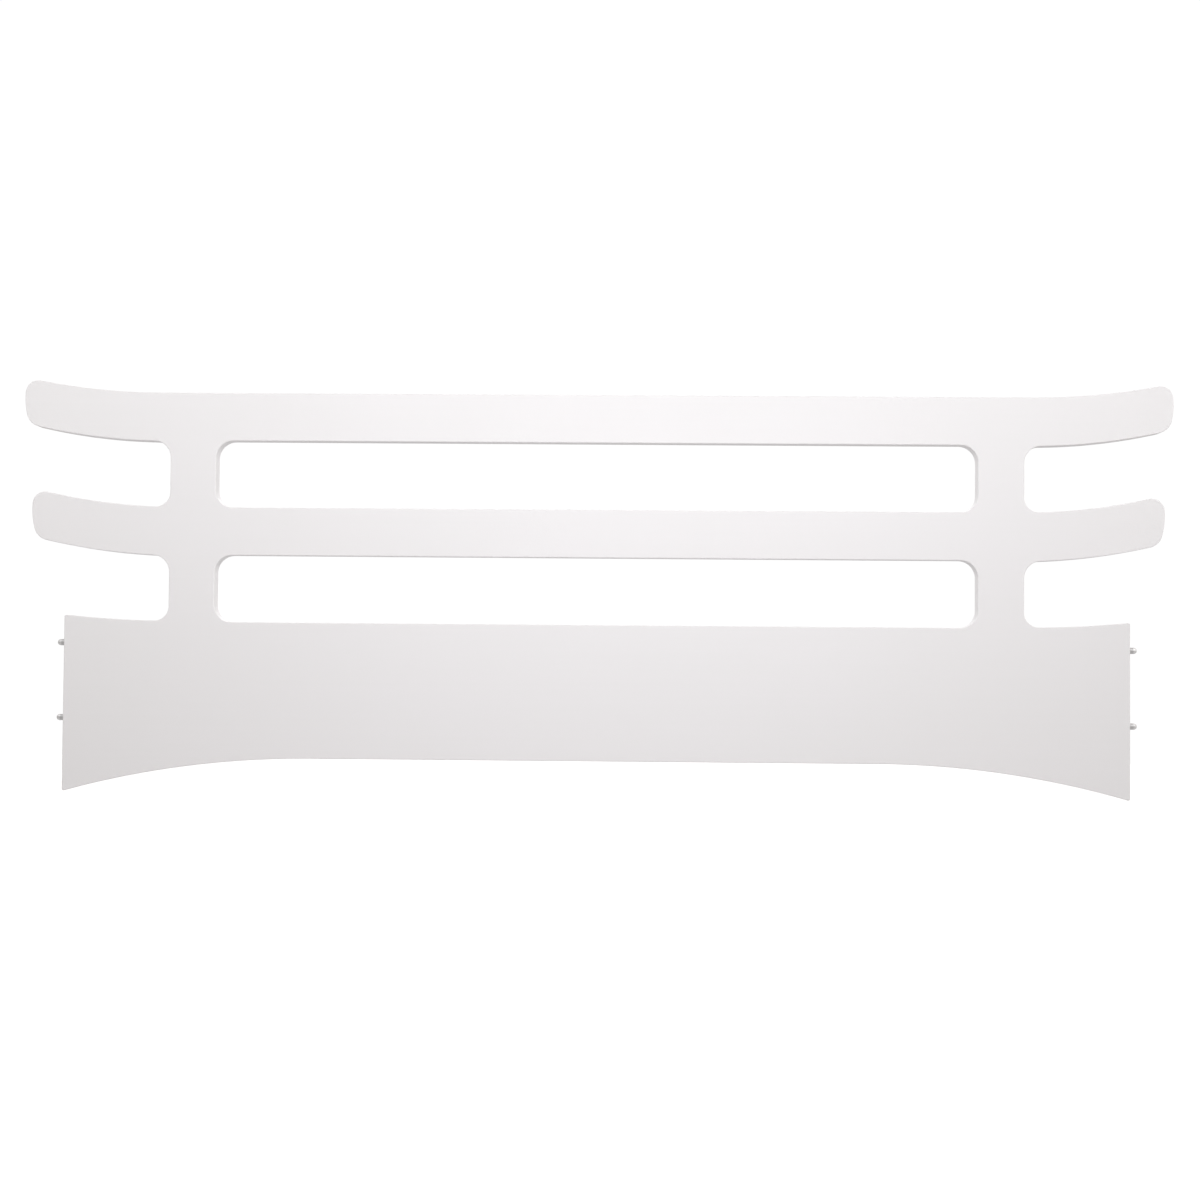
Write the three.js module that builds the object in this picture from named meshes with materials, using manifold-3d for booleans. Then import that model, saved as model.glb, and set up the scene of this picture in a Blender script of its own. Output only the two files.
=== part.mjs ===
// Guard rail for a child's bed. It is one white-lacquered board with a solid lower panel and two open rails,
// whose free tips curve upwards past the bed's ends. Two sprung, round-nosed pins in each end face snap
// into holes in the bed's ends and carry the guard.
// Millimetres, +Z up, X along the guard, and the front faces -Y. The origin is under the middle of the
// guard, level with its two lowest corners.

import * as THREE from "three";
import { mergeVertices } from "three/addons/utils/BufferGeometryUtils.js";
import ManifoldModule from "manifold-3d";

// Board and solid lower panel
const boardThickness = 18;
const endFaceX = 586;
const panelTopZ = 187.1;
const archRise = 37.4;
const archRun = 275;
const endCornerRadius = 2;
const faceEdgeRounding = 1;

// Rails, windows and uprights. An upright's outer side is set in from the end face.
const railHeight = 53;
const windowHeight = 73.9;
const windowCornerRadius = 19;
const uprightInset = 115.4;
const uprightWidth = 50.6;

// Edges that curve up from the uprights towards the ends: how far out from the upright's outer side each
// starts to rise, how far it starts above the level of the rail or panel edge, and its radius
const panelShoulderOffset = -3.1;
const panelShoulderStep = 1;
const panelShoulderRadius = 1189;
const lowerTipUnderOffset = -8.6;
const lowerTipUnderStep = -0.8;
const lowerTipUnderRadius = 660;
const lowerTipTopOffset = -4.2;
const lowerTipTopStep = 0.3;
const lowerTipTopRadius = 633;
const upperTipUnderOffset = 10.1;
const upperTipUnderStep = -0.6;
const upperTipUnderRadius = 628;
const upperTipTopOffset = 9.4;
const upperTipTopRadius = 735;

// How far the tips reach past the end faces, their rounded caps, and the inner corners of the bays
const lowerTipOverhang = 38;
const upperTipOverhang = 47.7;
const capBulgeRadius = 84;
const capCrestDrop = 23;
const capUpperRadius = 14;
const capLowerRadius = 18;
const bayUpperRadius = 19;
const bayLowerRadius = 16;

// Sprung pins in the end faces
const upperPinZ = 163.5;
const lowerPinZ = 80.5;
const pinDiameter = 7;
const pinStandOut = 9.5;
const pinTravel = 9;
const shoulderLength = 4;
const tailDiameter = 4.4;
const tailLength = 12;
const tailChamfer = 0.6;

// Steel sleeve pressed into the board, and the plug that closes it
const sleeveDiameter = 10.6;
const sleeveLength = 42;
const sleeveWall = 0.8;
const sleeveLipLength = 6;
const sleeveRecess = 0.4;
const sleeveLeadIn = 0.5;
const plugThickness = 4;
const plugBossHeight = 2;

// Coil spring behind each pin
const wireDiameter = 0.9;
const coilMeanDiameter = 6.8;
const coilCurls = 10;
const closedCurlGap = 0.5;

// Clearances
const pressGap = 0.15;
const slidingGap = 0.15;
const shoulderGap = 0.2;
const seatGap = 0.3;
const bossGap = 0.4;
const boreEndGap = 0.5;
const cutOverrun = 5;

// Facets
const roundSteps = 8;
const smallRoundSteps = 4;
const edgeSteps = 8;
const roundingSteps = 2;
const turnedSides = 20;
const noseSteps = 5;
const curlSteps = 8;
const wireSides = 5;

// Places along the guard that follow from its end face
const uprightOuterX = endFaceX - uprightInset;
const windowHalfLength = uprightOuterX - uprightWidth;
const lowerTipReachX = endFaceX + lowerTipOverhang;
const upperTipReachX = endFaceX + upperTipOverhang;

// Heights that follow from the panel, the windows and the rails
const lowerRailBottomZ = panelTopZ + windowHeight;
const lowerRailTopZ = lowerRailBottomZ + railHeight;
const upperRailBottomZ = lowerRailTopZ + windowHeight;
const upperRailTopZ = upperRailBottomZ + railHeight;

// The arch's radius, such that the rounded lower corners touch height zero
const archReach = archRun - endCornerRadius;
const archRadius = (archReach ** 2 + archRise ** 2) / (2 * archRise) - endCornerRadius;

// Radii that follow from the pin, the sleeve and their clearances
const pinRadius = pinDiameter / 2;
const sleeveRadius = sleeveDiameter / 2;
const chamberRadius = sleeveRadius - sleeveWall;
const mouthRadius = pinRadius + slidingGap;
const shoulderRadius = chamberRadius - shoulderGap;
const tailRadius = tailDiameter / 2;
const wireRadius = wireDiameter / 2;
const coilRadius = coilMeanDiameter / 2;
const plugBossRadius = coilRadius - wireRadius - bossGap;

// Places along a pin's axis: zero at the end face, positive out of the board
const sleeveFront = -sleeveRecess;
const sleeveBack = sleeveFront - sleeveLength;
const lipBack = sleeveFront - sleeveLipLength;
const shoulderFront = lipBack - seatGap;
const shoulderBack = shoulderFront - shoulderLength;
const tailEnd = shoulderBack - tailLength;
const plugFront = sleeveBack + plugThickness;
const springFront = shoulderBack - seatGap;
const springBack = plugFront + seatGap;

const wasm = await ManifoldModule();
wasm.setup();

const lacquerColour = 0xf3f1f0;
const platedSteelColour = 0xb4b4b2;
const springSteelColour = 0x8f9090;

function lacquer() {
  return new THREE.MeshStandardMaterial({ color: lacquerColour, roughness: 0.42, metalness: 0 });
}

function platedSteel() {
  return new THREE.MeshStandardMaterial({ color: platedSteelColour, roughness: 0.28, metalness: 1 });
}

function springSteel() {
  return new THREE.MeshStandardMaterial({ color: springSteelColour, roughness: 0.35, metalness: 1 });
}

// A curved edge is part of a circle. side is -1 where it is the circle's lower part and 1 where it is the
// upper part, and wood is 1 where the board lies inside the circle and -1 where it lies outside.
function risingEdge(offset, startZ, radius, wood) {
  const start = new THREE.Vector2(uprightOuterX + offset, startZ);
  return { x: start.x, z: startZ + radius, radius, side: -1, wood, start };
}

function archEdge() {
  const start = new THREE.Vector2(endFaceX - archRun, archRise);
  return { x: start.x, z: start.y - archRadius, radius: archRadius, side: 1, wood: -1, start };
}

function capEdge(reachX, crestZ) {
  return { x: reachX - capBulgeRadius, z: crestZ, radius: capBulgeRadius, side: 1, wood: 1 };
}

// The height of a rising edge at a place along the guard.
function heightOf(edge, x) {
  return edge.z - Math.sqrt(edge.radius ** 2 - (x - edge.x) ** 2);
}

// The crossing of two circles that lies nearer the end of the guard.
function outerCrossing(a, aRadius, b, bRadius) {
  const apart = Math.hypot(b.x - a.x, b.z - a.z);
  const along = (apart ** 2 + aRadius ** 2 - bRadius ** 2) / (2 * apart);
  const across = Math.sqrt(aRadius ** 2 - along ** 2);
  const unit = new THREE.Vector2(b.x - a.x, b.z - a.z).divideScalar(apart);
  const foot = new THREE.Vector2(a.x, a.z).addScaledVector(unit, along);
  const side = unit.y < 0 ? -1 : 1;
  return new THREE.Vector2(foot.x + side * across * unit.y, foot.y - side * across * unit.x);
}

// The round that joins two edges. turn is 1 on an outer corner, where it lies in the board, and -1 on an
// inner one. A wall is an upright edge with the board on its inner side.
function roundBetween(first, second, radius, turn) {
  const reach = (edge) => edge.radius - edge.wood * turn * radius;
  if (first.wall || second.wall) {
    const wall = first.wall ? first : second;
    const arc = first.wall ? second : first;
    const x = wall.x - turn * radius;
    const z = arc.z + arc.side * Math.sqrt(reach(arc) ** 2 - (x - arc.x) ** 2);
    return { x, z, radius, turn };
  }
  const centre = outerCrossing(first, reach(first), second, reach(second));
  return { x: centre.x, z: centre.y, radius, turn };
}

// The point where a round touches an edge.
function touchPoint(edge, round) {
  if (edge.wall) {
    return new THREE.Vector2(edge.x, round.z);
  }
  const away = new THREE.Vector2(round.x - edge.x, round.z - edge.z);
  return away.setLength(edge.radius).add(new THREE.Vector2(edge.x, edge.z));
}

function arcPoints(circle, from, to, clockwise, steps) {
  const fromAngle = Math.atan2(from.y - circle.z, from.x - circle.x);
  const toAngle = Math.atan2(to.y - circle.z, to.x - circle.x);
  return new THREE.ArcCurve(circle.x, circle.z, circle.radius, fromAngle, toAngle, clockwise).getPoints(steps);
}

// Points along a chain of edges with a round at each joint, from the first edge's start to the last one's.
function chainPoints(edges, rounds) {
  const points = [edges[0].start];
  let last = edges[0].start;
  rounds.forEach(({ radius, turn, steps }, i) => {
    const round = roundBetween(edges[i], edges[i + 1], radius, turn);
    const entry = touchPoint(edges[i], round);
    const exit = touchPoint(edges[i + 1], round);
    if (!edges[i].wall) {
      points.push(...arcPoints(edges[i], last, entry, edges[i].wood < 0, edgeSteps).slice(1, -1));
    }
    points.push(...arcPoints(round, entry, exit, turn < 0, steps));
    last = exit;
  });
  const end = edges[edges.length - 1];
  points.push(...arcPoints(end, last, end.start, end.wood < 0, edgeSteps).slice(1));
  return points;
}

// The right half of the board's outline, from the arch up round both tips to the top of the upper rail.
function rightHalfPoints() {
  const upright = { wall: true, x: uprightOuterX };
  const lowerTop = risingEdge(lowerTipTopOffset, lowerRailTopZ + lowerTipTopStep, lowerTipTopRadius, -1);
  const upperTop = risingEdge(upperTipTopOffset, upperRailTopZ, upperTipTopRadius, -1);
  const lowerCrestZ = heightOf(lowerTop, lowerTipReachX) - capCrestDrop;
  const upperCrestZ = heightOf(upperTop, upperTipReachX) - capCrestDrop;
  const edges = [
    archEdge(),
    { wall: true, x: endFaceX },
    risingEdge(panelShoulderOffset, panelTopZ + panelShoulderStep, panelShoulderRadius, -1),
    upright,
    risingEdge(lowerTipUnderOffset, lowerRailBottomZ + lowerTipUnderStep, lowerTipUnderRadius, 1),
    capEdge(lowerTipReachX, lowerCrestZ),
    lowerTop,
    upright,
    risingEdge(upperTipUnderOffset, upperRailBottomZ + upperTipUnderStep, upperTipUnderRadius, 1),
    capEdge(upperTipReachX, upperCrestZ),
    upperTop,
  ];
  const endCorner = { radius: endCornerRadius, turn: 1, steps: smallRoundSteps };
  const bayLower = { radius: bayLowerRadius, turn: -1, steps: roundSteps };
  const bayUpper = { radius: bayUpperRadius, turn: -1, steps: roundSteps };
  const capLower = { radius: capLowerRadius, turn: 1, steps: roundSteps };
  const capUpper = { radius: capUpperRadius, turn: 1, steps: roundSteps };
  return chainPoints(edges, [
    endCorner, endCorner,
    bayLower, bayUpper, capLower, capUpper,
    bayLower, bayUpper, capLower, capUpper,
  ]);
}

// A long window with four rounded corners, as a hole in the board.
function windowPath(bottomZ) {
  const innerX = windowHalfLength - windowCornerRadius;
  const lowZ = bottomZ + windowCornerRadius;
  const highZ = bottomZ + windowHeight - windowCornerRadius;
  const quarter = Math.PI / 2;
  const corners = [[innerX, highZ], [-innerX, highZ], [-innerX, lowZ], [innerX, lowZ]];
  const points = corners.flatMap(([x, z], i) => {
    const from = i * quarter;
    return new THREE.ArcCurve(x, z, windowCornerRadius, from, from + quarter, false).getPoints(roundSteps);
  });
  return new THREE.Path(points);
}

function boardGeometry() {
  const right = rightHalfPoints();
  const left = right.map((point) => new THREE.Vector2(-point.x, point.y)).reverse();
  const outline = new THREE.Shape([...right, ...left]);
  outline.holes.push(windowPath(panelTopZ), windowPath(lowerRailTopZ));
  const depth = boardThickness - 2 * faceEdgeRounding;
  const geometry = new THREE.ExtrudeGeometry(outline, {
    depth,
    bevelEnabled: true,
    bevelThickness: faceEdgeRounding,
    bevelSize: faceEdgeRounding,
    bevelOffset: -faceEdgeRounding,
    bevelSegments: roundingSteps,
  });
  geometry.rotateX(Math.PI / 2);
  geometry.translate(0, depth / 2, 0);
  return geometry;
}

// Closed meshes to solids and back, for the blind bores in the end faces.
function toSolid(geometry) {
  const bare = geometry.clone();
  bare.deleteAttribute("normal");
  bare.deleteAttribute("uv");
  const merged = mergeVertices(bare);
  const vertProperties = Float32Array.from(merged.attributes.position.array);
  const triVerts = Uint32Array.from(merged.index.array);
  return new wasm.Manifold(new wasm.Mesh({ numProp: 3, vertProperties, triVerts }));
}

function toGeometry(solid) {
  const mesh = solid.getMesh();
  const geometry = new THREE.BufferGeometry();
  geometry.setAttribute("position", new THREE.BufferAttribute(mesh.vertProperties, 3));
  geometry.setIndex(new THREE.BufferAttribute(mesh.triVerts, 1));
  geometry.computeVertexNormals();
  return geometry;
}

// The two ends of the guard. A pin's own axis is +Y, which outward turns to point out of that end.
const ends = [
  { name: "left", faceX: -endFaceX, outward: Math.PI / 2 },
  { name: "right", faceX: endFaceX, outward: -Math.PI / 2 },
];
const levels = [
  { name: "upper", z: upperPinZ },
  { name: "lower", z: lowerPinZ },
];

// Something turned on a lathe about a pin's axis, from points of radius and place, ordered from the back.
function turned(profile) {
  return new THREE.LatheGeometry(profile.map(([radius, place]) => new THREE.Vector2(radius, place)), turnedSides);
}

function boreCutter(end, level) {
  const boreBack = sleeveBack - boreEndGap;
  const radius = sleeveRadius + pressGap;
  const cutter = turned([[0, boreBack], [radius, boreBack], [radius, cutOverrun], [0, cutOverrun]]);
  cutter.rotateZ(end.outward);
  cutter.translate(end.faceX, 0, level.z);
  return cutter;
}

function guardPanel() {
  let solid = toSolid(boardGeometry());
  for (const end of ends) {
    for (const level of levels) {
      solid = solid.subtract(toSolid(boreCutter(end, level)));
    }
  }
  const mesh = new THREE.Mesh(toGeometry(solid), lacquer());
  mesh.name = "guard_panel";
  return mesh;
}

// A thin tube with a narrower mouth, whose lip holds the pin's shoulder in.
function sleeveGeometry() {
  return turned([
    [chamberRadius, sleeveBack],
    [sleeveRadius - sleeveLeadIn, sleeveBack],
    [sleeveRadius, sleeveBack + sleeveLeadIn],
    [sleeveRadius, sleeveFront],
    [mouthRadius, sleeveFront],
    [mouthRadius, lipBack],
    [chamberRadius, lipBack],
    [chamberRadius, sleeveBack],
  ]);
}

// A disc with a boss that centres the spring.
function plugGeometry() {
  const radius = chamberRadius - pressGap;
  return turned([
    [0, sleeveBack],
    [radius, sleeveBack],
    [radius, plugFront],
    [plugBossRadius, plugFront],
    [plugBossRadius, plugFront + plugBossHeight],
    [0, plugFront + plugBossHeight],
  ]);
}

// A pin with a domed nose, a shoulder behind the sleeve's lip, and a tail that guides the spring.
function plungerGeometry() {
  const noseStart = pinStandOut - pinRadius;
  const nose = [];
  for (let i = 0; i <= noseSteps; i += 1) {
    const angle = (i / noseSteps) * Math.PI / 2;
    nose.push([i === noseSteps ? 0 : pinRadius * Math.cos(angle), noseStart + pinRadius * Math.sin(angle)]);
  }
  return turned([
    [0, tailEnd],
    [tailRadius - tailChamfer, tailEnd],
    [tailRadius, tailEnd + tailChamfer],
    [tailRadius, shoulderBack],
    [shoulderRadius, shoulderBack],
    [shoulderRadius, shoulderFront],
    [pinRadius, shoulderFront],
    ...nose,
  ]);
}

// The spring's centre line: its end curls lie close, and the ones between share what length is left.
function springCentreLine() {
  const back = springBack + wireRadius;
  const length = springFront - wireRadius - back;
  const closedPitch = wireDiameter + closedCurlGap;
  const openPitch = (length - 2 * closedPitch) / (coilCurls - 2);
  const points = [];
  for (let step = 0; step <= coilCurls * curlSteps; step += 1) {
    const curls = step / curlSteps;
    const closedCurls = Math.min(curls, 1) + Math.max(curls - (coilCurls - 1), 0);
    const place = back + closedCurls * closedPitch + (curls - closedCurls) * openPitch;
    const angle = curls * 2 * Math.PI;
    points.push(new THREE.Vector3(coilRadius * Math.cos(angle), place, coilRadius * Math.sin(angle)));
  }
  return points;
}

// The least distance between two stretches of wire that are most of a curl or more apart.
function leastSelfGap(points) {
  const apart = curlSteps - 1;
  let least = Infinity;
  for (let i = 0; i < points.length; i += 1) {
    for (let j = i + apart; j < points.length; j += 1) {
      least = Math.min(least, points[i].distanceTo(points[j]) - wireDiameter);
    }
  }
  return least;
}

// One unbroken tube round the centre line, closed by a fan at each end.
function springGeometry() {
  const line = springCentreLine();
  const positions = [];
  const index = [];
  line.forEach((point, i) => {
    const before = line[Math.max(i - 1, 0)];
    const after = line[Math.min(i + 1, line.length - 1)];
    const out = new THREE.Vector3(point.x, 0, point.z).normalize();
    const along = after.clone().sub(before);
    along.addScaledVector(out, -along.dot(out)).normalize();
    const up = new THREE.Vector3().crossVectors(out, along);
    for (let side = 0; side < wireSides; side += 1) {
      const angle = (side / wireSides) * 2 * Math.PI;
      const corner = point.clone();
      corner.addScaledVector(out, wireRadius * Math.cos(angle));
      corner.addScaledVector(up, wireRadius * Math.sin(angle));
      positions.push(corner.x, corner.y, corner.z);
    }
  });
  for (let ring = 0; ring < line.length - 1; ring += 1) {
    for (let side = 0; side < wireSides; side += 1) {
      const next = (side + 1) % wireSides;
      const a = ring * wireSides + side;
      const b = ring * wireSides + next;
      const c = a + wireSides;
      const d = b + wireSides;
      index.push(a, c, b, b, c, d);
    }
  }
  const lastRing = (line.length - 1) * wireSides;
  for (let side = 1; side < wireSides - 1; side += 1) {
    index.push(0, side, side + 1);
    index.push(lastRing, lastRing + side + 1, lastRing + side);
  }
  const geometry = new THREE.BufferGeometry();
  geometry.setAttribute("position", new THREE.Float32BufferAttribute(positions, 3));
  geometry.setIndex(index);
  geometry.computeVertexNormals();
  return geometry;
}

// One sprung pin with all its pieces, on its own axis.
function sprungPin(name) {
  const pieces = [
    ["sleeve", sleeveGeometry(), platedSteel()],
    ["sleeve_plug", plugGeometry(), platedSteel()],
    ["spring", springGeometry(), springSteel()],
    ["plunger", plungerGeometry(), platedSteel()],
  ];
  const group = new THREE.Group();
  for (const [piece, geometry, material] of pieces) {
    const mesh = new THREE.Mesh(geometry, material);
    mesh.name = `${name}_${piece}`;
    group.add(mesh);
  }
  return group;
}

function guard() {
  const group = new THREE.Group();
  group.add(guardPanel());
  for (const end of ends) {
    for (const level of levels) {
      const pin = sprungPin(`${end.name}_${level.name}`);
      pin.position.set(end.faceX, 0, level.z);
      pin.rotation.z = end.outward;
      group.add(pin);
    }
  }
  return group;
}

const tailRoom = tailEnd - pinTravel - (plugFront + plugBossHeight);
console.log(`room behind a pin's tail when it is pushed in: ${tailRoom.toFixed(2)} mm`);
console.log(`least gap between a spring's curls: ${leastSelfGap(springCentreLine()).toFixed(2)} mm`);

export default guard();
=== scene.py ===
# Bed guard rail: the looks, built round the fixed frame. Metres, +Z up, the front faces -Y.
import math

import bpy
from mathutils import Matrix, Vector


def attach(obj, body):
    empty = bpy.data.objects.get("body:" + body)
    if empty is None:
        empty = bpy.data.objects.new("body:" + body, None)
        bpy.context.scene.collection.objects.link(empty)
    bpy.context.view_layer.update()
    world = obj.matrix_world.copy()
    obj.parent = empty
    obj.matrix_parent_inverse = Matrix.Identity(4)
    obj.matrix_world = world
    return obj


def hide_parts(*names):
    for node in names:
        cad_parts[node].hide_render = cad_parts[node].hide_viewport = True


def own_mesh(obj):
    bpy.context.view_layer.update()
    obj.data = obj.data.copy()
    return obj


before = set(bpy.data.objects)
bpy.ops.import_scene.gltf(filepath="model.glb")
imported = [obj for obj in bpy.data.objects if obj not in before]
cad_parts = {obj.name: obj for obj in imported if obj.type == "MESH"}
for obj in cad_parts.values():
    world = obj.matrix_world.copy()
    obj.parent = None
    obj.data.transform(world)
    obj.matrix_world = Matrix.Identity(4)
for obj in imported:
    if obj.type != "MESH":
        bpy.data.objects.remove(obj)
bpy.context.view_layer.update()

fullTurn = 2 * math.pi


# Camera

camera = {
    "place": (0.0395, -1.8772, 0.162),
    "turn": 1.025,  # degrees to the left of straight ahead
    "tilt": 1.613,  # degrees up
    "lean": 0.469,  # degrees anticlockwise about its own line of sight
    "lens": 51,
    "sensor": 36,
}


def addCamera():
    aim = Matrix.Rotation(math.radians(camera["turn"]), 3, "Z")
    aim = aim @ Matrix.Rotation(math.radians(90 + camera["tilt"]), 3, "X")
    aim = aim @ Matrix.Rotation(math.radians(camera["lean"]), 3, "Z")
    bpy.ops.object.camera_add(location=camera["place"], rotation=aim.to_euler())
    made = bpy.context.object
    made.name = "studioCamera"
    made.data.lens = camera["lens"]
    made.data.sensor_width = camera["sensor"]
    bpy.context.scene.camera = made
    print("camera is in place")


# Node helpers

def newMaterial(name):
    material = bpy.data.materials.new(name)
    material.use_nodes = True
    tree = material.node_tree
    return material, tree, tree.nodes["Principled BSDF"]


def coat(piece, material):
    piece.data.materials.clear()
    piece.data.materials.append(material)


def addNode(tree, kind, inputs=None, **settings):
    node = tree.nodes.new(kind)
    for key, value in settings.items():
        setattr(node, key, value)
    for key, value in (inputs or {}).items():
        node.inputs[key].default_value = value
    return node


def wire(tree, output, socket):
    tree.links.new(output, socket)


def colourMix(tree, factor, first, second):  # each colour is fixed or another node's output
    mix = addNode(tree, "ShaderNodeMix", data_type="RGBA")
    wire(tree, factor, mix.inputs["Factor"])
    for socket, value in (("A", first), ("B", second)):
        if isinstance(value, tuple):
            mix.inputs[socket].default_value = value
        else:
            wire(tree, value, mix.inputs[socket])
    return mix.outputs["Result"]


def rangeOf(tree, value, low, high, fromLow=0, fromHigh=1):
    limits = {"From Min": fromLow, "From Max": fromHigh, "To Min": low, "To Max": high}
    node = addNode(tree, "ShaderNodeMapRange", limits)
    wire(tree, value, node.inputs["Value"])
    return node.outputs["Result"]


def scaledSum(tree, value, scale, added):
    node = addNode(tree, "ShaderNodeMath", {1: scale}, operation="MULTIPLY_ADD")
    wire(tree, value, node.inputs[0])
    wire(tree, added, node.inputs[2])
    return node.outputs["Value"]


def distanceAlong(tree, place, axis):  # how far a place lies from the guard's middle, either way
    split = addNode(tree, "ShaderNodeSeparateXYZ")
    wire(tree, place, split.inputs["Vector"])
    distance = addNode(tree, "ShaderNodeMath", operation="ABSOLUTE")
    wire(tree, split.outputs[axis], distance.inputs[0])
    return distance.outputs["Value"]


# Studio: a pale floor well below the hanging guard, an even white surround and soft lamps

studio = {
    "floorDrop": 0.42,  # the guard's lowest corners hang this high
    "floorSize": 14,
    "floorRoughness": 0.9,
    "floorBounce": (0.66, 0.66, 0.66, 1),  # what the floor gives back to the guard
    "floorSeen": (0.93, 0.93, 0.93, 1),  # and what the camera sees
    "floorGlow": (0.5, 0.5, 0.5, 1),  # seen by the camera alone
    "noGlow": (0, 0, 0, 1),
    "backdropColour": (1, 1, 1, 1),
    "backdropStrength": 1.02,  # what the camera sees of the surround
    "surroundTint": (1.015, 0.985, 0.96, 1),
    "surroundBright": 0.842,
    "surroundDim": 0.308,
    "dimCorner": (-0.6, -0.8, 0),  # the room darkens this way, in front on the left
    "lamps": [
        {"name": "keyLamp", "place": (0.06, -0.5, 0.62), "aim": (0.06, 0, 0.3), "size": (3.2, 0.3),
         "power": 3.75, "tint": (0.984, 1.005, 1.01)},
        {"name": "frontLamp", "place": (0.05, -0.8, 0.4), "aim": (0.05, 0, 0.25), "size": (0.8, 0.6),
         "power": 1.93, "tint": (0.955, 0.97, 1.02)},
        {"name": "sideLamp", "place": (1.0, -1.4, 0.45), "aim": (0.5, 0, 0.2), "size": (0.4, 0.5),
         "power": 0.2, "tint": (1, 0.98, 1.02)},
        {"name": "backLamp", "place": (-0.2, 1.6, 1.4), "aim": (0, 0, 0.2), "size": (1.2, 0.9),
         "power": 9, "tint": (0.955, 0.985, 1.03)},
    ],
}


def addFloor():
    bpy.ops.mesh.primitive_plane_add(size=studio["floorSize"], location=(0, 0, -studio["floorDrop"]))
    floor = bpy.context.object
    floor.name = "studioFloor"
    material, tree, shader = newMaterial("palePaper")
    shader.inputs["Roughness"].default_value = studio["floorRoughness"]
    shader.inputs["Specular IOR Level"].default_value = 0
    shader.inputs["Emission Strength"].default_value = 1
    onCamera = addNode(tree, "ShaderNodeLightPath").outputs["Is Camera Ray"]
    tone = colourMix(tree, onCamera, studio["floorBounce"], studio["floorSeen"])
    wire(tree, tone, shader.inputs["Base Color"])
    glow = colourMix(tree, onCamera, studio["noGlow"], studio["floorGlow"])
    wire(tree, glow, shader.inputs["Emission Color"])
    coat(floor, material)


def addSurround():
    world = bpy.data.worlds.new("studioSurround")
    world.use_nodes = True
    bpy.context.scene.world = world
    tree = world.node_tree
    tree.nodes.clear()
    direction = addNode(tree, "ShaderNodeTexCoord").outputs["Generated"]
    corner = addNode(tree, "ShaderNodeVectorMath", {1: studio["dimCorner"]}, operation="DOT_PRODUCT")
    wire(tree, direction, corner.inputs[0])
    strength = rangeOf(tree, corner.outputs["Value"], studio["surroundBright"], studio["surroundDim"])
    lighting = addNode(tree, "ShaderNodeBackground", {"Color": studio["surroundTint"]})
    wire(tree, strength, lighting.inputs["Strength"])
    backdrop = addNode(tree, "ShaderNodeBackground", {
        "Color": studio["backdropColour"],
        "Strength": studio["backdropStrength"],
    })
    mix = addNode(tree, "ShaderNodeMixShader")
    wire(tree, addNode(tree, "ShaderNodeLightPath").outputs["Is Camera Ray"], mix.inputs["Fac"])
    wire(tree, lighting.outputs["Background"], mix.inputs[1])
    wire(tree, backdrop.outputs["Background"], mix.inputs[2])
    output = addNode(tree, "ShaderNodeOutputWorld")
    wire(tree, mix.outputs["Shader"], output.inputs["Surface"])


def addLamps():
    for lamp in studio["lamps"]:
        towards = Vector(lamp["aim"]) - Vector(lamp["place"])
        rotation = towards.to_track_quat("-Z", "Y").to_euler()
        bpy.ops.object.light_add(type="AREA", location=lamp["place"], rotation=rotation)
        made = bpy.context.object
        made.name = lamp["name"]
        made.data.shape = "RECTANGLE"
        made.data.size, made.data.size_y = lamp["size"]
        made.data.energy = lamp["power"]
        made.data.color = lamp["tint"]
        made.visible_camera = False


def addStudio():
    bpy.context.scene.view_settings.view_transform = "Standard"
    addFloor()
    addSurround()
    addLamps()
    print("floor, surround and lamps are in place")


# Modelling helpers. Outlines are drawn in the XZ plane by a pen, which is one vertex that is extruded on.

drawing = {
    "penSize": 0.001,  # a small plane that is merged into the pen's vertex
    "mergeWithin": 0.000002,  # vertices this close become one
    "shortestLine": 0.000001,  # anything shorter isn't drawn
}


def deselectAll():
    if bpy.context.object and bpy.context.object.mode == "EDIT":
        bpy.ops.object.mode_set(mode="OBJECT")
    bpy.ops.object.select_all(action="DESELECT")


def selectOnly(piece):
    deselectAll()
    bpy.context.view_layer.objects.active = piece
    piece.select_set(True)


def pointPen(start):
    deselectAll()
    bpy.ops.mesh.primitive_plane_add(size=drawing["penSize"], location=(start[0], 0, start[1]))
    bpy.ops.object.mode_set(mode="EDIT")
    bpy.ops.mesh.select_mode(type="VERT")
    bpy.ops.mesh.select_all(action="SELECT")
    bpy.ops.mesh.merge(type="CENTER")


def drawLine(here, there):
    step = (there[0] - here[0], 0, there[1] - here[1])
    bpy.ops.mesh.extrude_vertices_move(TRANSFORM_OT_translate={"value": step})
    return there


def drawArc(here, centre, there, anticlockwise, stepLength, leastSteps):
    start = math.atan2(here[1] - centre[1], here[0] - centre[0])
    end = math.atan2(there[1] - centre[1], there[0] - centre[0])
    angle = (end - start) % fullTurn if anticlockwise else -((start - end) % fullTurn)
    radius = math.hypot(here[0] - centre[0], here[1] - centre[1])
    steps = max(leastSteps, math.ceil(abs(angle) * radius / stepLength))
    bpy.ops.mesh.spin(steps=steps, angle=angle, center=(centre[0], 0, centre[1]), axis=(0, 1, 0))
    return there


def selectFaces(wanted):
    bpy.ops.object.mode_set(mode="EDIT")
    bpy.ops.mesh.select_mode(type="FACE")
    bpy.ops.mesh.select_all(action="DESELECT")
    bpy.ops.object.mode_set(mode="OBJECT")
    for face in bpy.context.object.data.polygons:
        face.select = wanted(face)
    bpy.ops.object.mode_set(mode="EDIT")


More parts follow.
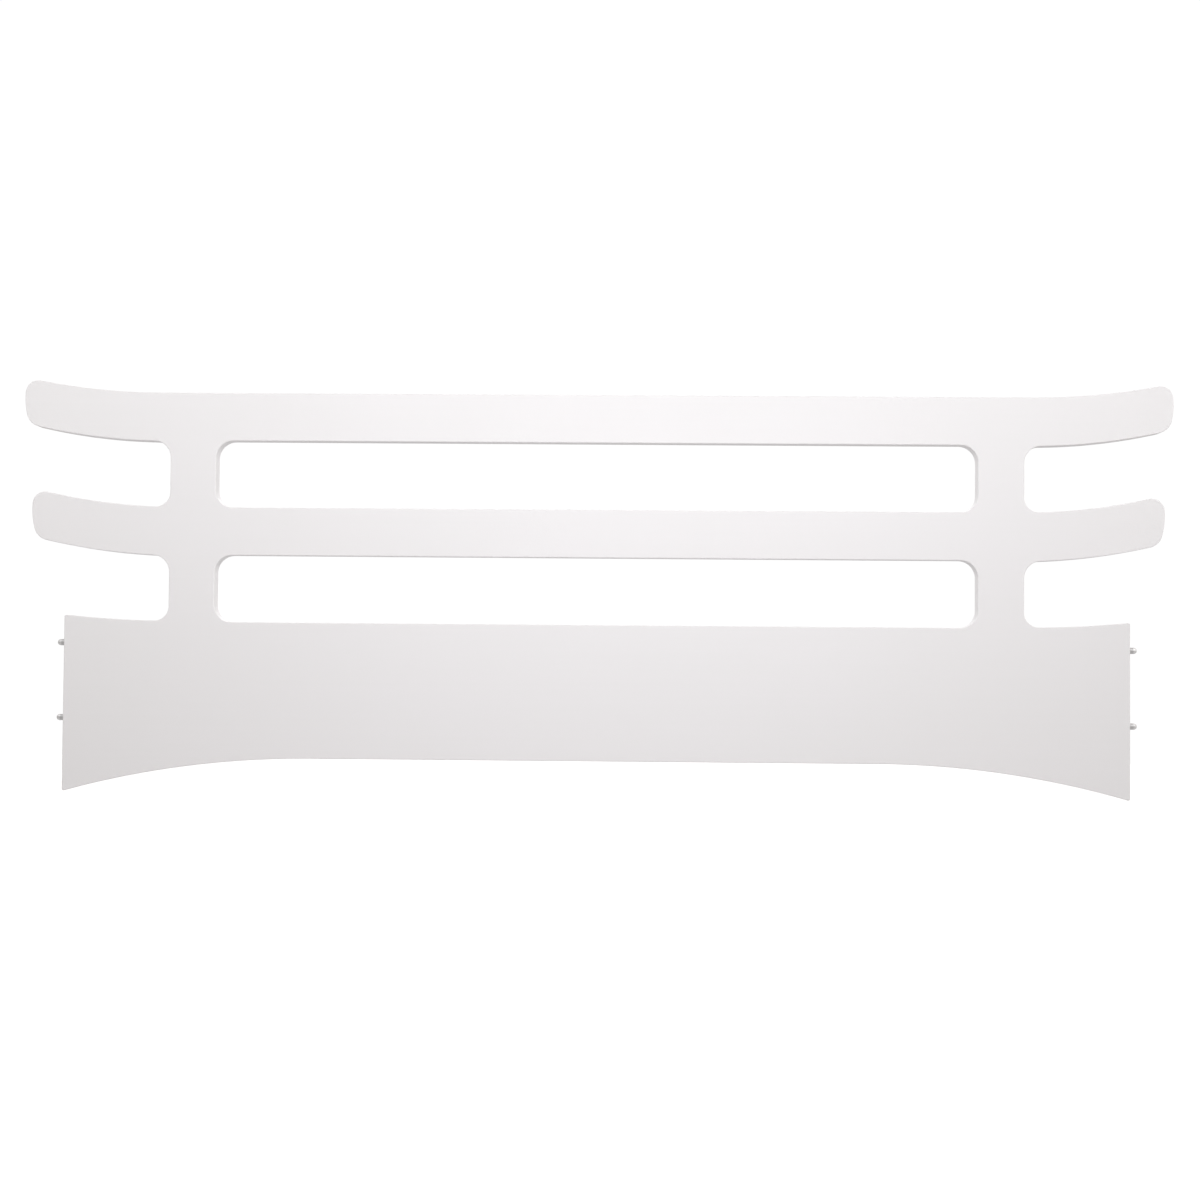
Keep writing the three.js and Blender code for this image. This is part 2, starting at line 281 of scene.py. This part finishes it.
def closeShape():  # merges what meets and turns every face outwards
    bpy.ops.object.mode_set(mode="EDIT")
    bpy.ops.mesh.select_all(action="SELECT")
    bpy.ops.mesh.remove_doubles(threshold=drawing["mergeWithin"])
    bpy.ops.mesh.normals_make_consistent(inside=False)
    bpy.ops.object.mode_set(mode="OBJECT")


def finishPiece(name, smoothAngle):
    made = bpy.context.object
    made.name = name
    bpy.ops.object.transform_apply(location=True, rotation=True, scale=True)
    bpy.ops.object.shade_smooth_by_angle(angle=math.radians(smoothAngle))
    made.select_set(False)
    return made


# Board: the outline is drawn once for the right half, mirrored, filled, extruded and rounded

board = {
    "thickness": 0.018,
    "endFace": 0.586,
    "panelTop": 0.1871,
    "archRise": 0.0374,
    "archRun": 0.275,  # the arch curves over this length from each end and is straight between
    "endCorner": 0.002,
    "rounding": 0.001,  # of every edge between the faces and the outline
    "railHeight": 0.053,
    "windowHeight": 0.0739,
    "windowCorner": 0.019,
    "uprightInset": 0.1154,
    "uprightWidth": 0.0506,
    # A curved edge starts at an offset from the upright's outer side and a step from its own level.
    "shoulder": {"offset": -0.0031, "step": 0.001, "radius": 1.189},
    "lowerUnder": {"offset": -0.0086, "step": -0.0008, "radius": 0.66},
    "lowerTop": {"offset": -0.0042, "step": 0.0003, "radius": 0.633},
    "upperUnder": {"offset": 0.0101, "step": -0.0006, "radius": 0.628},
    "upperTop": {"offset": 0.0094, "step": 0, "radius": 0.735},
    "lowerOverhang": 0.038,  # how far the tips stand out past the end face
    "upperOverhang": 0.0477,
    "capBulge": 0.084,  # radius of the tips' ends
    "capCrestDrop": 0.023,
    "capUpper": 0.014,
    "capLower": 0.018,
    "bayUpper": 0.019,
    "bayLower": 0.016,
    "edgeStep": 0.006,  # length of one facet along the long curves
    "leastEdgeSteps": 4,
    "cornerStep": 0.0012,  # and round the corners
    "leastCornerSteps": 6,
    "roundingSteps": 5,
    "flatMargin": 0.00025,  # narrow flat strip that keeps the big faces' shading flat
    "backReach": 0.00001,  # a face belongs to the back if its middle lies this near it
    "backTurn": 0.9,  # and its normal's part along Y is over this
    "smoothAngle": 32,
}

# An edge is an upright wall or an arc about x, z. Its side is 1 where it runs above x, z and -1 below.
# Its wood is 1 where the board lies on the inside of the arc and -1 where it lies on the outside.


def risingEdge(curve, level, wood):  # an arc that starts level near the upright and rises to the tip
    x = board["endFace"] - board["uprightInset"] + curve["offset"]
    z = level + curve["step"]
    radius = curve["radius"]
    return {"x": x, "z": z + radius, "radius": radius, "side": -1, "wood": wood, "start": (x, z)}


def archEdge():
    reach = board["archRun"] - board["endCorner"]
    radius = (reach ** 2 + board["archRise"] ** 2) / (2 * board["archRise"]) - board["endCorner"]
    x = board["endFace"] - board["archRun"]
    z = board["archRise"]
    return {"x": x, "z": z - radius, "radius": radius, "side": 1, "wood": -1, "start": (x, z)}


def capEdge(top, overhang):
    reach = board["endFace"] + overhang
    tipZ = top["z"] - math.sqrt(top["radius"] ** 2 - (reach - top["x"]) ** 2)
    x = reach - board["capBulge"]
    return {"x": x, "z": tipZ - board["capCrestDrop"], "radius": board["capBulge"], "side": 1, "wood": 1}


def outerCrossing(a, aRadius, b, bRadius):  # where two circles cross, on the side nearer the end
    apart = math.hypot(b["x"] - a["x"], b["z"] - a["z"])
    along = (apart ** 2 + aRadius ** 2 - bRadius ** 2) / (2 * apart)
    across = math.sqrt(aRadius ** 2 - along ** 2)
    unitX = (b["x"] - a["x"]) / apart
    unitZ = (b["z"] - a["z"]) / apart
    side = -1 if unitZ < 0 else 1
    x = a["x"] + along * unitX + side * across * unitZ
    return x, a["z"] + along * unitZ - side * across * unitX


def cornerCentre(first, second, radius, turn):  # turn is 1 on an outer corner and -1 on an inner one
    def reach(edge):
        return edge["radius"] - edge["wood"] * turn * radius
    if "wall" in first or "wall" in second:
        wall, arc = (first, second) if "wall" in first else (second, first)
        x = wall["wall"] - turn * radius
        return x, arc["z"] + arc["side"] * math.sqrt(reach(arc) ** 2 - (x - arc["x"]) ** 2)
    return outerCrossing(first, reach(first), second, reach(second))


def touchPoint(edge, centre):
    if "wall" in edge:
        return edge["wall"], centre[1]
    away = Vector((centre[0] - edge["x"], centre[1] - edge["z"])).normalized() * edge["radius"]
    return edge["x"] + away.x, edge["z"] + away.y


def followEdge(here, edge, there):
    if "wall" in edge:
        return drawLine(here, there)
    centre = (edge["x"], edge["z"])
    return drawArc(here, centre, there, edge["wood"] > 0, board["edgeStep"], board["leastEdgeSteps"])


def drawRightHalf():
    lowerRail = board["panelTop"] + board["windowHeight"]
    lowerRailTop = lowerRail + board["railHeight"]
    upperRail = lowerRailTop + board["windowHeight"]
    upperRailTop = upperRail + board["railHeight"]
    upright = {"wall": board["endFace"] - board["uprightInset"]}
    lowerTop = risingEdge(board["lowerTop"], lowerRailTop, -1)
    upperTop = risingEdge(board["upperTop"], upperRailTop, -1)
    edges = [
        archEdge(),
        {"wall": board["endFace"]},
        risingEdge(board["shoulder"], board["panelTop"], -1),
        upright,
        risingEdge(board["lowerUnder"], lowerRail, 1),
        capEdge(lowerTop, board["lowerOverhang"]),
        lowerTop,
        upright,
        risingEdge(board["upperUnder"], upperRail, 1),
        capEdge(upperTop, board["upperOverhang"]),
        upperTop,
    ]
    endCorner = (board["endCorner"], 1)
    tip = [
        (board["bayLower"], -1),
        (board["bayUpper"], -1),
        (board["capLower"], 1),
        (board["capUpper"], 1),
    ]
    corners = [endCorner, endCorner, *tip, *tip]
    start = (0, board["archRise"])
    pointPen(start)
    here = drawLine(start, edges[0]["start"])
    for edge, following, (radius, turn) in zip(edges, edges[1:], corners):
        centre = cornerCentre(edge, following, radius, turn)
        here = followEdge(here, edge, touchPoint(edge, centre))
        leaving = touchPoint(following, centre)
        here = drawArc(here, centre, leaving, turn > 0, board["cornerStep"], board["leastCornerSteps"])
    here = followEdge(here, upperTop, upperTop["start"])
    drawLine(here, (0, upperRailTop))
    return board["panelTop"], lowerRailTop  # the lower edges of the two windows


def cutWindow(bottom):
    length = 2 * (board["endFace"] - board["uprightInset"] - board["uprightWidth"])
    middle = (0, 0, bottom + board["windowHeight"] / 2)
    bpy.ops.mesh.primitive_plane_add(size=1, location=middle, rotation=(math.pi / 2, 0, 0))
    bpy.ops.transform.resize(value=(length, 1, board["windowHeight"]), center_override=middle)
    steps = math.ceil(board["windowCorner"] * math.pi / 2 / board["cornerStep"])
    bpy.ops.mesh.bevel(affect="VERTICES", offset=board["windowCorner"], segments=steps)


def roundRim(outward):  # works the selected flat face outwards in steps along a quarter circle
    steps = board["roundingSteps"]
    angles = [math.pi / 2 * i / steps for i in range(steps + 1)]
    for before, after in zip(angles, angles[1:]):
        inset = board["rounding"] * (math.cos(before) - math.cos(after))
        rise = board["rounding"] * (math.sin(after) - math.sin(before))
        bpy.ops.mesh.inset(thickness=inset, depth=0, use_even_offset=True)
        bpy.ops.transform.translate(value=(0, outward * rise, 0))
    bpy.ops.mesh.inset(thickness=board["flatMargin"], depth=0, use_even_offset=True)


def boreEnds(target):  # the holes that the four sleeves sit in
    cutters = []
    for sign in (-1, 1):
        middle = sign * (board["endFace"] + (sleeve["overrun"] - sleeve["bore"]) / 2)
        for level in pinLevels.values():
            bpy.ops.mesh.primitive_cylinder_add(
                vertices=turned["sides"],
                radius=sleeve["boreRadius"],
                depth=sleeve["bore"] + sleeve["overrun"],
                location=(middle, 0, level),
                rotation=(0, math.pi / 2, 0),
            )
            cutters.append(bpy.context.object)
    for cutter in cutters:
        cutter.select_set(True)
    bpy.ops.object.join()
    cutter = bpy.context.object
    selectOnly(target)
    bpy.ops.object.modifier_add(type="BOOLEAN")
    modifier = target.modifiers[-1]
    modifier.object = cutter
    modifier.operation = "DIFFERENCE"
    modifier.solver = "EXACT"
    bpy.ops.object.modifier_apply(modifier=modifier.name)
    bpy.data.objects.remove(cutter)


def makeBoard():
    windows = drawRightHalf()
    bpy.ops.object.mode_set(mode="OBJECT")
    bpy.ops.object.transform_apply(location=True, rotation=True, scale=True)
    bpy.ops.object.modifier_add(type="MIRROR")
    bpy.ops.object.modifier_apply(modifier=bpy.context.object.modifiers[-1].name)
    bpy.ops.object.mode_set(mode="EDIT")
    for bottom in windows:
        cutWindow(bottom)
    bpy.ops.mesh.select_all(action="SELECT")
    bpy.ops.mesh.delete(type="ONLY_FACE")
    bpy.ops.mesh.select_all(action="SELECT")
    bpy.ops.mesh.fill(use_beauty=True)
    wall = board["thickness"] / 2 - board["rounding"]
    margin = board["flatMargin"]
    bpy.ops.mesh.select_all(action="SELECT")
    bpy.ops.transform.translate(value=(0, wall, 0))
    for step in (margin, 2 * (wall - margin), margin):
        bpy.ops.mesh.extrude_region_move(TRANSFORM_OT_translate={"value": (0, -step, 0)})
    roundRim(-1)
    back = wall - board["backReach"]
    selectFaces(lambda face: face.center.y > back and abs(face.normal.y) > board["backTurn"])
    roundRim(1)
    closeShape()
    boreEnds(bpy.context.object)
    made = finishPiece("guardBoard", board["smoothAngle"])
    print("board is made:", len(made.data.polygons), "faces")
    return made


# Sprung pins. Places along a pin's axis count from the end face, positive out of the board.

pinLevels = {"upper": 0.1635, "lower": 0.0805}
sleeve = {
    "radius": 0.0053,
    "wall": 0.0008,
    "front": -0.0004,
    "lip": 0.006,
    "length": 0.042,
    "mouthRadius": 0.00365,
    "backRound": 0.0004,
    "frontRound": 0.0003,
    "innerRound": 0.0001,
    "bore": 0.0429,  # depth of its hole in the board
    "boreRadius": 0.00545,
    "overrun": 0.002,  # how far the cutter stands out of the board
}
pin = {
    "radius": 0.0035,
    "standOut": 0.0095,
    "shoulderRadius": 0.0043,
    "shoulderFront": -0.0067,
    "shoulderBack": -0.0107,
    "tailRadius": 0.0022,
    "tailEnd": -0.0227,
    "edgeRound": 0.0002,
    "tailRound": 0.0006,
}
plug = {
    "radius": 0.00435,
    "front": -0.0384,
    "bossRadius": 0.00255,
    "bossHeight": 0.002,
    "edgeRound": 0.0003,
}
spring = {
    "wireRadius": 0.00045,
    "wireResolution": 3,
    "radius": 0.0034,
    "front": -0.011,
    "back": -0.0381,
    "curls": 10,
    "closedGap": 0.0005,
    "stepsPerCurl": 32,
    "travel": 0.009,
    "smoothAngle": 60,
}
turned = {
    "sides": 64,  # facets round every turned piece and its hole
    "roundStep": 0.0004,  # length of one facet along a round
    "leastRoundSteps": 5,
    "smoothAngle": 32,
}


def drawProfile(corners):  # a pen line through corners of place, radius and round
    end = board["endFace"]
    level = pinLevels["upper"]
    points = [(end + place, level + radius) for place, radius, edgeRound in corners]
    pointPen(points[0])
    here = points[0]
    for i in range(1, len(corners) - 1):
        corner = Vector(points[i])
        back = (Vector(points[i - 1]) - corner).normalized()
        on = (Vector(points[i + 1]) - corner).normalized()
        radius = corners[i][2]
        half = back.angle(on) / 2
        entry = corner + back * radius / math.tan(half)
        leaving = corner + on * radius / math.tan(half)
        centre = corner + (back + on).normalized() * radius / math.sin(half)
        if (entry - Vector(here)).length > drawing["shortestLine"]:
            drawLine(here, entry)
        anticlockwise = back.x * on.y - back.y * on.x < 0
        here = drawArc(entry, centre, leaving, anticlockwise, turned["roundStep"], turned["leastRoundSteps"])
    if (Vector(points[-1]) - Vector(here)).length > drawing["shortestLine"]:
        drawLine(here, points[-1])


def turnProfile(name):  # spins the drawn line about the pin's axis
    bpy.ops.mesh.select_all(action="SELECT")
    axis = (board["endFace"], 0, pinLevels["upper"])
    bpy.ops.mesh.spin(steps=turned["sides"], angle=fullTurn, center=axis, axis=(1, 0, 0))
    closeShape()
    return finishPiece(name, turned["smoothAngle"])


def makePin():
    small = pin["edgeRound"]
    drawProfile([
        (pin["tailEnd"], 0, 0),
        (pin["tailEnd"], pin["tailRadius"], pin["tailRound"]),
        (pin["shoulderBack"], pin["tailRadius"], small),
        (pin["shoulderBack"], pin["shoulderRadius"], small),
        (pin["shoulderFront"], pin["shoulderRadius"], small),
        (pin["shoulderFront"], pin["radius"], small),
        (pin["standOut"], pin["radius"], pin["radius"]),
        (pin["standOut"], 0, 0),
    ])
    return turnProfile("rightUpperPin")


def makeSleeve():
    back = sleeve["front"] - sleeve["length"]
    lipBack = sleeve["front"] - sleeve["lip"]
    chamber = sleeve["radius"] - sleeve["wall"]
    middle = (back + lipBack) / 2
    drawProfile([
        (middle, chamber, 0),
        (back, chamber, sleeve["innerRound"]),
        (back, sleeve["radius"], sleeve["backRound"]),
        (sleeve["front"], sleeve["radius"], sleeve["frontRound"]),
        (sleeve["front"], sleeve["mouthRadius"], sleeve["frontRound"]),
        (lipBack, sleeve["mouthRadius"], sleeve["innerRound"]),
        (lipBack, chamber, sleeve["innerRound"]),
        (middle, chamber, 0),
    ])
    return turnProfile("rightUpperSleeve")


def makePlug():
    back = sleeve["front"] - sleeve["length"]
    bossFront = plug["front"] + plug["bossHeight"]
    drawProfile([
        (back, 0, 0),
        (back, plug["radius"], plug["edgeRound"]),
        (plug["front"], plug["radius"], plug["edgeRound"]),
        (plug["front"], plug["bossRadius"], plug["edgeRound"]),
        (bossFront, plug["bossRadius"], plug["edgeRound"]),
        (bossFront, 0, 0),
    ])
    return turnProfile("rightUpperPlug")


def makeSpring():  # the end curls lie close, and the ones between share what is left
    back = spring["back"] + spring["wireRadius"]
    length = spring["front"] - spring["wireRadius"] - back
    closedPitch = 2 * spring["wireRadius"] + spring["closedGap"]
    openPitch = (length - 2 * closedPitch) / (spring["curls"] - 2)
    curve = bpy.data.curves.new("coilLine", "CURVE")
    curve.dimensions = "3D"
    curve.bevel_depth = spring["wireRadius"]
    curve.bevel_resolution = spring["wireResolution"]
    curve.use_fill_caps = True
    line = curve.splines.new("POLY")
    line.points.add(spring["curls"] * spring["stepsPerCurl"])
    for i, point in enumerate(line.points):
        curl = i / spring["stepsPerCurl"]
        closed = min(curl, 1) + max(curl - (spring["curls"] - 1), 0)
        place = board["endFace"] + back + closed * closedPitch + (curl - closed) * openPitch
        y = -spring["radius"] * math.cos(curl * fullTurn)
        z = pinLevels["upper"] + spring["radius"] * math.sin(curl * fullTurn)
        point.co = (place, y, z, 1)
    coil = bpy.data.objects.new("rightUpperSpring", curve)
    bpy.context.scene.collection.objects.link(coil)
    selectOnly(coil)
    bpy.ops.object.convert(target="MESH")
    closeShape()
    return finishPiece("rightUpperSpring", spring["smoothAngle"])


def placeCopies(first, ending, node, material):  # one for each pin, turned half round on the left
    for side in ("right", "left"):
        for level, height in pinLevels.items():
            piece = first
            if (side, level) != ("right", "upper"):
                selectOnly(first)
                bpy.ops.object.duplicate()
                piece = bpy.context.object
                piece.location.z = height - pinLevels["upper"]
                piece.rotation_euler.z = math.pi if side == "left" else 0
                bpy.ops.object.transform_apply(location=True, rotation=True, scale=True)
            piece.name = side + level.capitalize() + ending
            coat(piece, material)
            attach(piece, f"{side}_{level}_pin" if node == "plunger" else "guard")
            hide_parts(f"{side}_{level}_{node}")
            if node == "spring":  # it shortens towards its plug as the pin goes in
                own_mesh(piece)


# Finishes

unevenness = {
    "cloudDetail": 2,
    "cloudRoughness": 0.45,
    "fineDetail": 3,
    "fineRoughness": 0.6,
    "contrast": (0.3, 0.7),  # the part of the noise's range that is spread from 0 to 1
}
lacquer = {
    "white": (0.872, 0.853, 0.862, 1),
    "shadeWhite": (0.86, 0.845, 0.848, 1),
    "edgeWhite": (0.854, 0.842, 0.852, 1),
    "roughness": (0.4, 0.5),
    "cloudScale": 5,
    "cloudShare": 0.6,  # of the change from white to shadeWhite
    "grainShare": 0.4,
    "grainStretch": (3, 90, 260),
    "grainDepth": 0.012,
    "peelScale": 620,
    "peelDetail": 1,
    "peelDepth": 0.02,
    "bumpDistance": 0.0006,
    "faceY": 0.0088,  # from here out all is the face's tone
    "edgeY": 0.0076,  # and from here in all is the edge's
}
steel = {
    "plated": {
        "light": (0.88, 0.875, 0.88, 1),
        "dark": (0.78, 0.775, 0.78, 1),
        # painted shade colour for the pins' roots next to the board
        "paintedRootShade": (0.63, 0.625, 0.63, 1),
        "roughness": (0.38, 0.5),
    },
    "spring": {
        "light": (0.5, 0.5, 0.5, 1),
        "dark": (0.36, 0.36, 0.37, 1),
        "roughness": (0.26, 0.42),
    },
    "paintedShadeReach": 0.0044,  # painted shade: the plated steel is darkened up to this far out of the board, standing in for the board's shade on each pin's root
    "paintedShadeFade": 0.0014,
    "cloudScale": 180,
    "lineStretch": (5200, 60, 60),
    "lineDepth": 0.05,
    "bumpDistance": 0.00008,
}


def unevennessGroup():  # slow clouds and fine speckle, for every finish on the guard
    tree = bpy.data.node_groups.new("unevenness", "ShaderNodeTree")
    tree.interface.new_socket("Vector", in_out="INPUT", socket_type="NodeSocketVector")
    tree.interface.new_socket("Cloud Scale", in_out="INPUT", socket_type="NodeSocketFloat")
    tree.interface.new_socket("Fine Vector", in_out="INPUT", socket_type="NodeSocketVector")
    tree.interface.new_socket("Clouds", in_out="OUTPUT", socket_type="NodeSocketFloat")
    tree.interface.new_socket("Fine", in_out="OUTPUT", socket_type="NodeSocketFloat")
    entry = addNode(tree, "NodeGroupInput")
    leaving = addNode(tree, "NodeGroupOutput")
    clouds = addNode(tree, "ShaderNodeTexNoise", {
        "Detail": unevenness["cloudDetail"],
        "Roughness": unevenness["cloudRoughness"],
    })
    wire(tree, entry.outputs["Vector"], clouds.inputs["Vector"])
    wire(tree, entry.outputs["Cloud Scale"], clouds.inputs["Scale"])
    fine = addNode(tree, "ShaderNodeTexNoise", {
        "Scale": 1,
        "Detail": unevenness["fineDetail"],
        "Roughness": unevenness["fineRoughness"],
    })
    wire(tree, entry.outputs["Fine Vector"], fine.inputs["Vector"])
    for noise, socket in ((clouds, "Clouds"), (fine, "Fine")):
        spread = rangeOf(tree, noise.outputs["Fac"], 0, 1, *unevenness["contrast"])
        wire(tree, spread, leaving.inputs[socket])
    return tree


def placeUnevenness(tree, group, place, cloudScale, fineStretch):
    node = addNode(tree, "ShaderNodeGroup", node_tree=group)
    node.inputs["Cloud Scale"].default_value = cloudScale
    wire(tree, place, node.inputs["Vector"])
    stretched = addNode(tree, "ShaderNodeMapping", {"Scale": fineStretch})
    wire(tree, place, stretched.inputs["Vector"])
    wire(tree, stretched.outputs["Vector"], node.inputs["Fine Vector"])
    return node.outputs["Clouds"], node.outputs["Fine"]


def addBump(tree, shader, height, distance):
    bump = addNode(tree, "ShaderNodeBump", {"Strength": 1, "Distance": distance})
    wire(tree, height, bump.inputs["Height"])
    wire(tree, bump.outputs["Normal"], shader.inputs["Normal"])


def makeLacquer(group):  # satin white, with the board's grain and the spray's fine skin just showing
    material, tree, shader = newMaterial("whiteLacquer")
    place = addNode(tree, "ShaderNodeTexCoord").outputs["Object"]
    clouds, grain = placeUnevenness(tree, group, place, lacquer["cloudScale"], lacquer["grainStretch"])
    shade = scaledSum(tree, grain, lacquer["grainShare"], rangeOf(tree, clouds, 0, lacquer["cloudShare"]))
    face = colourMix(tree, shade, lacquer["white"], lacquer["shadeWhite"])
    sawn = rangeOf(tree, distanceAlong(tree, place, "Y"), 1, 0, lacquer["edgeY"], lacquer["faceY"])
    wire(tree, colourMix(tree, sawn, face, lacquer["edgeWhite"]), shader.inputs["Base Color"])
    wire(tree, rangeOf(tree, clouds, *lacquer["roughness"]), shader.inputs["Roughness"])
    peel = addNode(tree, "ShaderNodeTexNoise", {
        "Scale": lacquer["peelScale"],
        "Detail": lacquer["peelDetail"],
    })
    wire(tree, place, peel.inputs["Vector"])
    skin = rangeOf(tree, peel.outputs["Fac"], 0, lacquer["peelDepth"])
    height = scaledSum(tree, grain, lacquer["grainDepth"], skin)
    addBump(tree, shader, height, lacquer["bumpDistance"])
    return material


def makeSteel(name, group, finish):  # turned or drawn steel with fine lines round its axis; the plated finish also carries a painted shade near the board
    material, tree, shader = newMaterial(name)
    shader.inputs["Metallic"].default_value = 1
    place = addNode(tree, "ShaderNodeTexCoord").outputs["Object"]
    clouds, lines = placeUnevenness(tree, group, place, steel["cloudScale"], steel["lineStretch"])
    colour = colourMix(tree, clouds, finish["light"], finish["dark"])
    # painted shade: near the end face the colour is darkened, standing in for the board's shadow on the
    # pin's root
    if "paintedRootShade" in finish:
        paintedShadeEnd = board["endFace"] + steel["paintedShadeReach"]
        unshadedStart = paintedShadeEnd + steel["paintedShadeFade"]
        unshaded = rangeOf(tree, distanceAlong(tree, place, "X"), 0, 1, paintedShadeEnd, unshadedStart)
        colour = colourMix(tree, unshaded, finish["paintedRootShade"], colour)
    wire(tree, colour, shader.inputs["Base Color"])
    wire(tree, rangeOf(tree, lines, *finish["roughness"]), shader.inputs["Roughness"])
    addBump(tree, shader, rangeOf(tree, lines, 0, steel["lineDepth"]), steel["bumpDistance"])
    return material


addCamera()
addStudio()
sharedUnevenness = unevennessGroup()
whiteLacquer = makeLacquer(sharedUnevenness)
nickelPlate = makeSteel("nickelPlate", sharedUnevenness, steel["plated"])
springSteel = makeSteel("springSteel", sharedUnevenness, steel["spring"])
print("finishes are made")

guardBoard = makeBoard()
coat(guardBoard, whiteLacquer)
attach(guardBoard, "guard")
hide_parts("guard_panel")

placeCopies(makePin(), "Pin", "plunger", nickelPlate)
placeCopies(makeSleeve(), "Sleeve", "sleeve", nickelPlate)
placeCopies(makePlug(), "Plug", "sleeve_plug", nickelPlate)
placeCopies(makeSpring(), "Spring", "spring", springSteel)
print("sprung pins are in place")
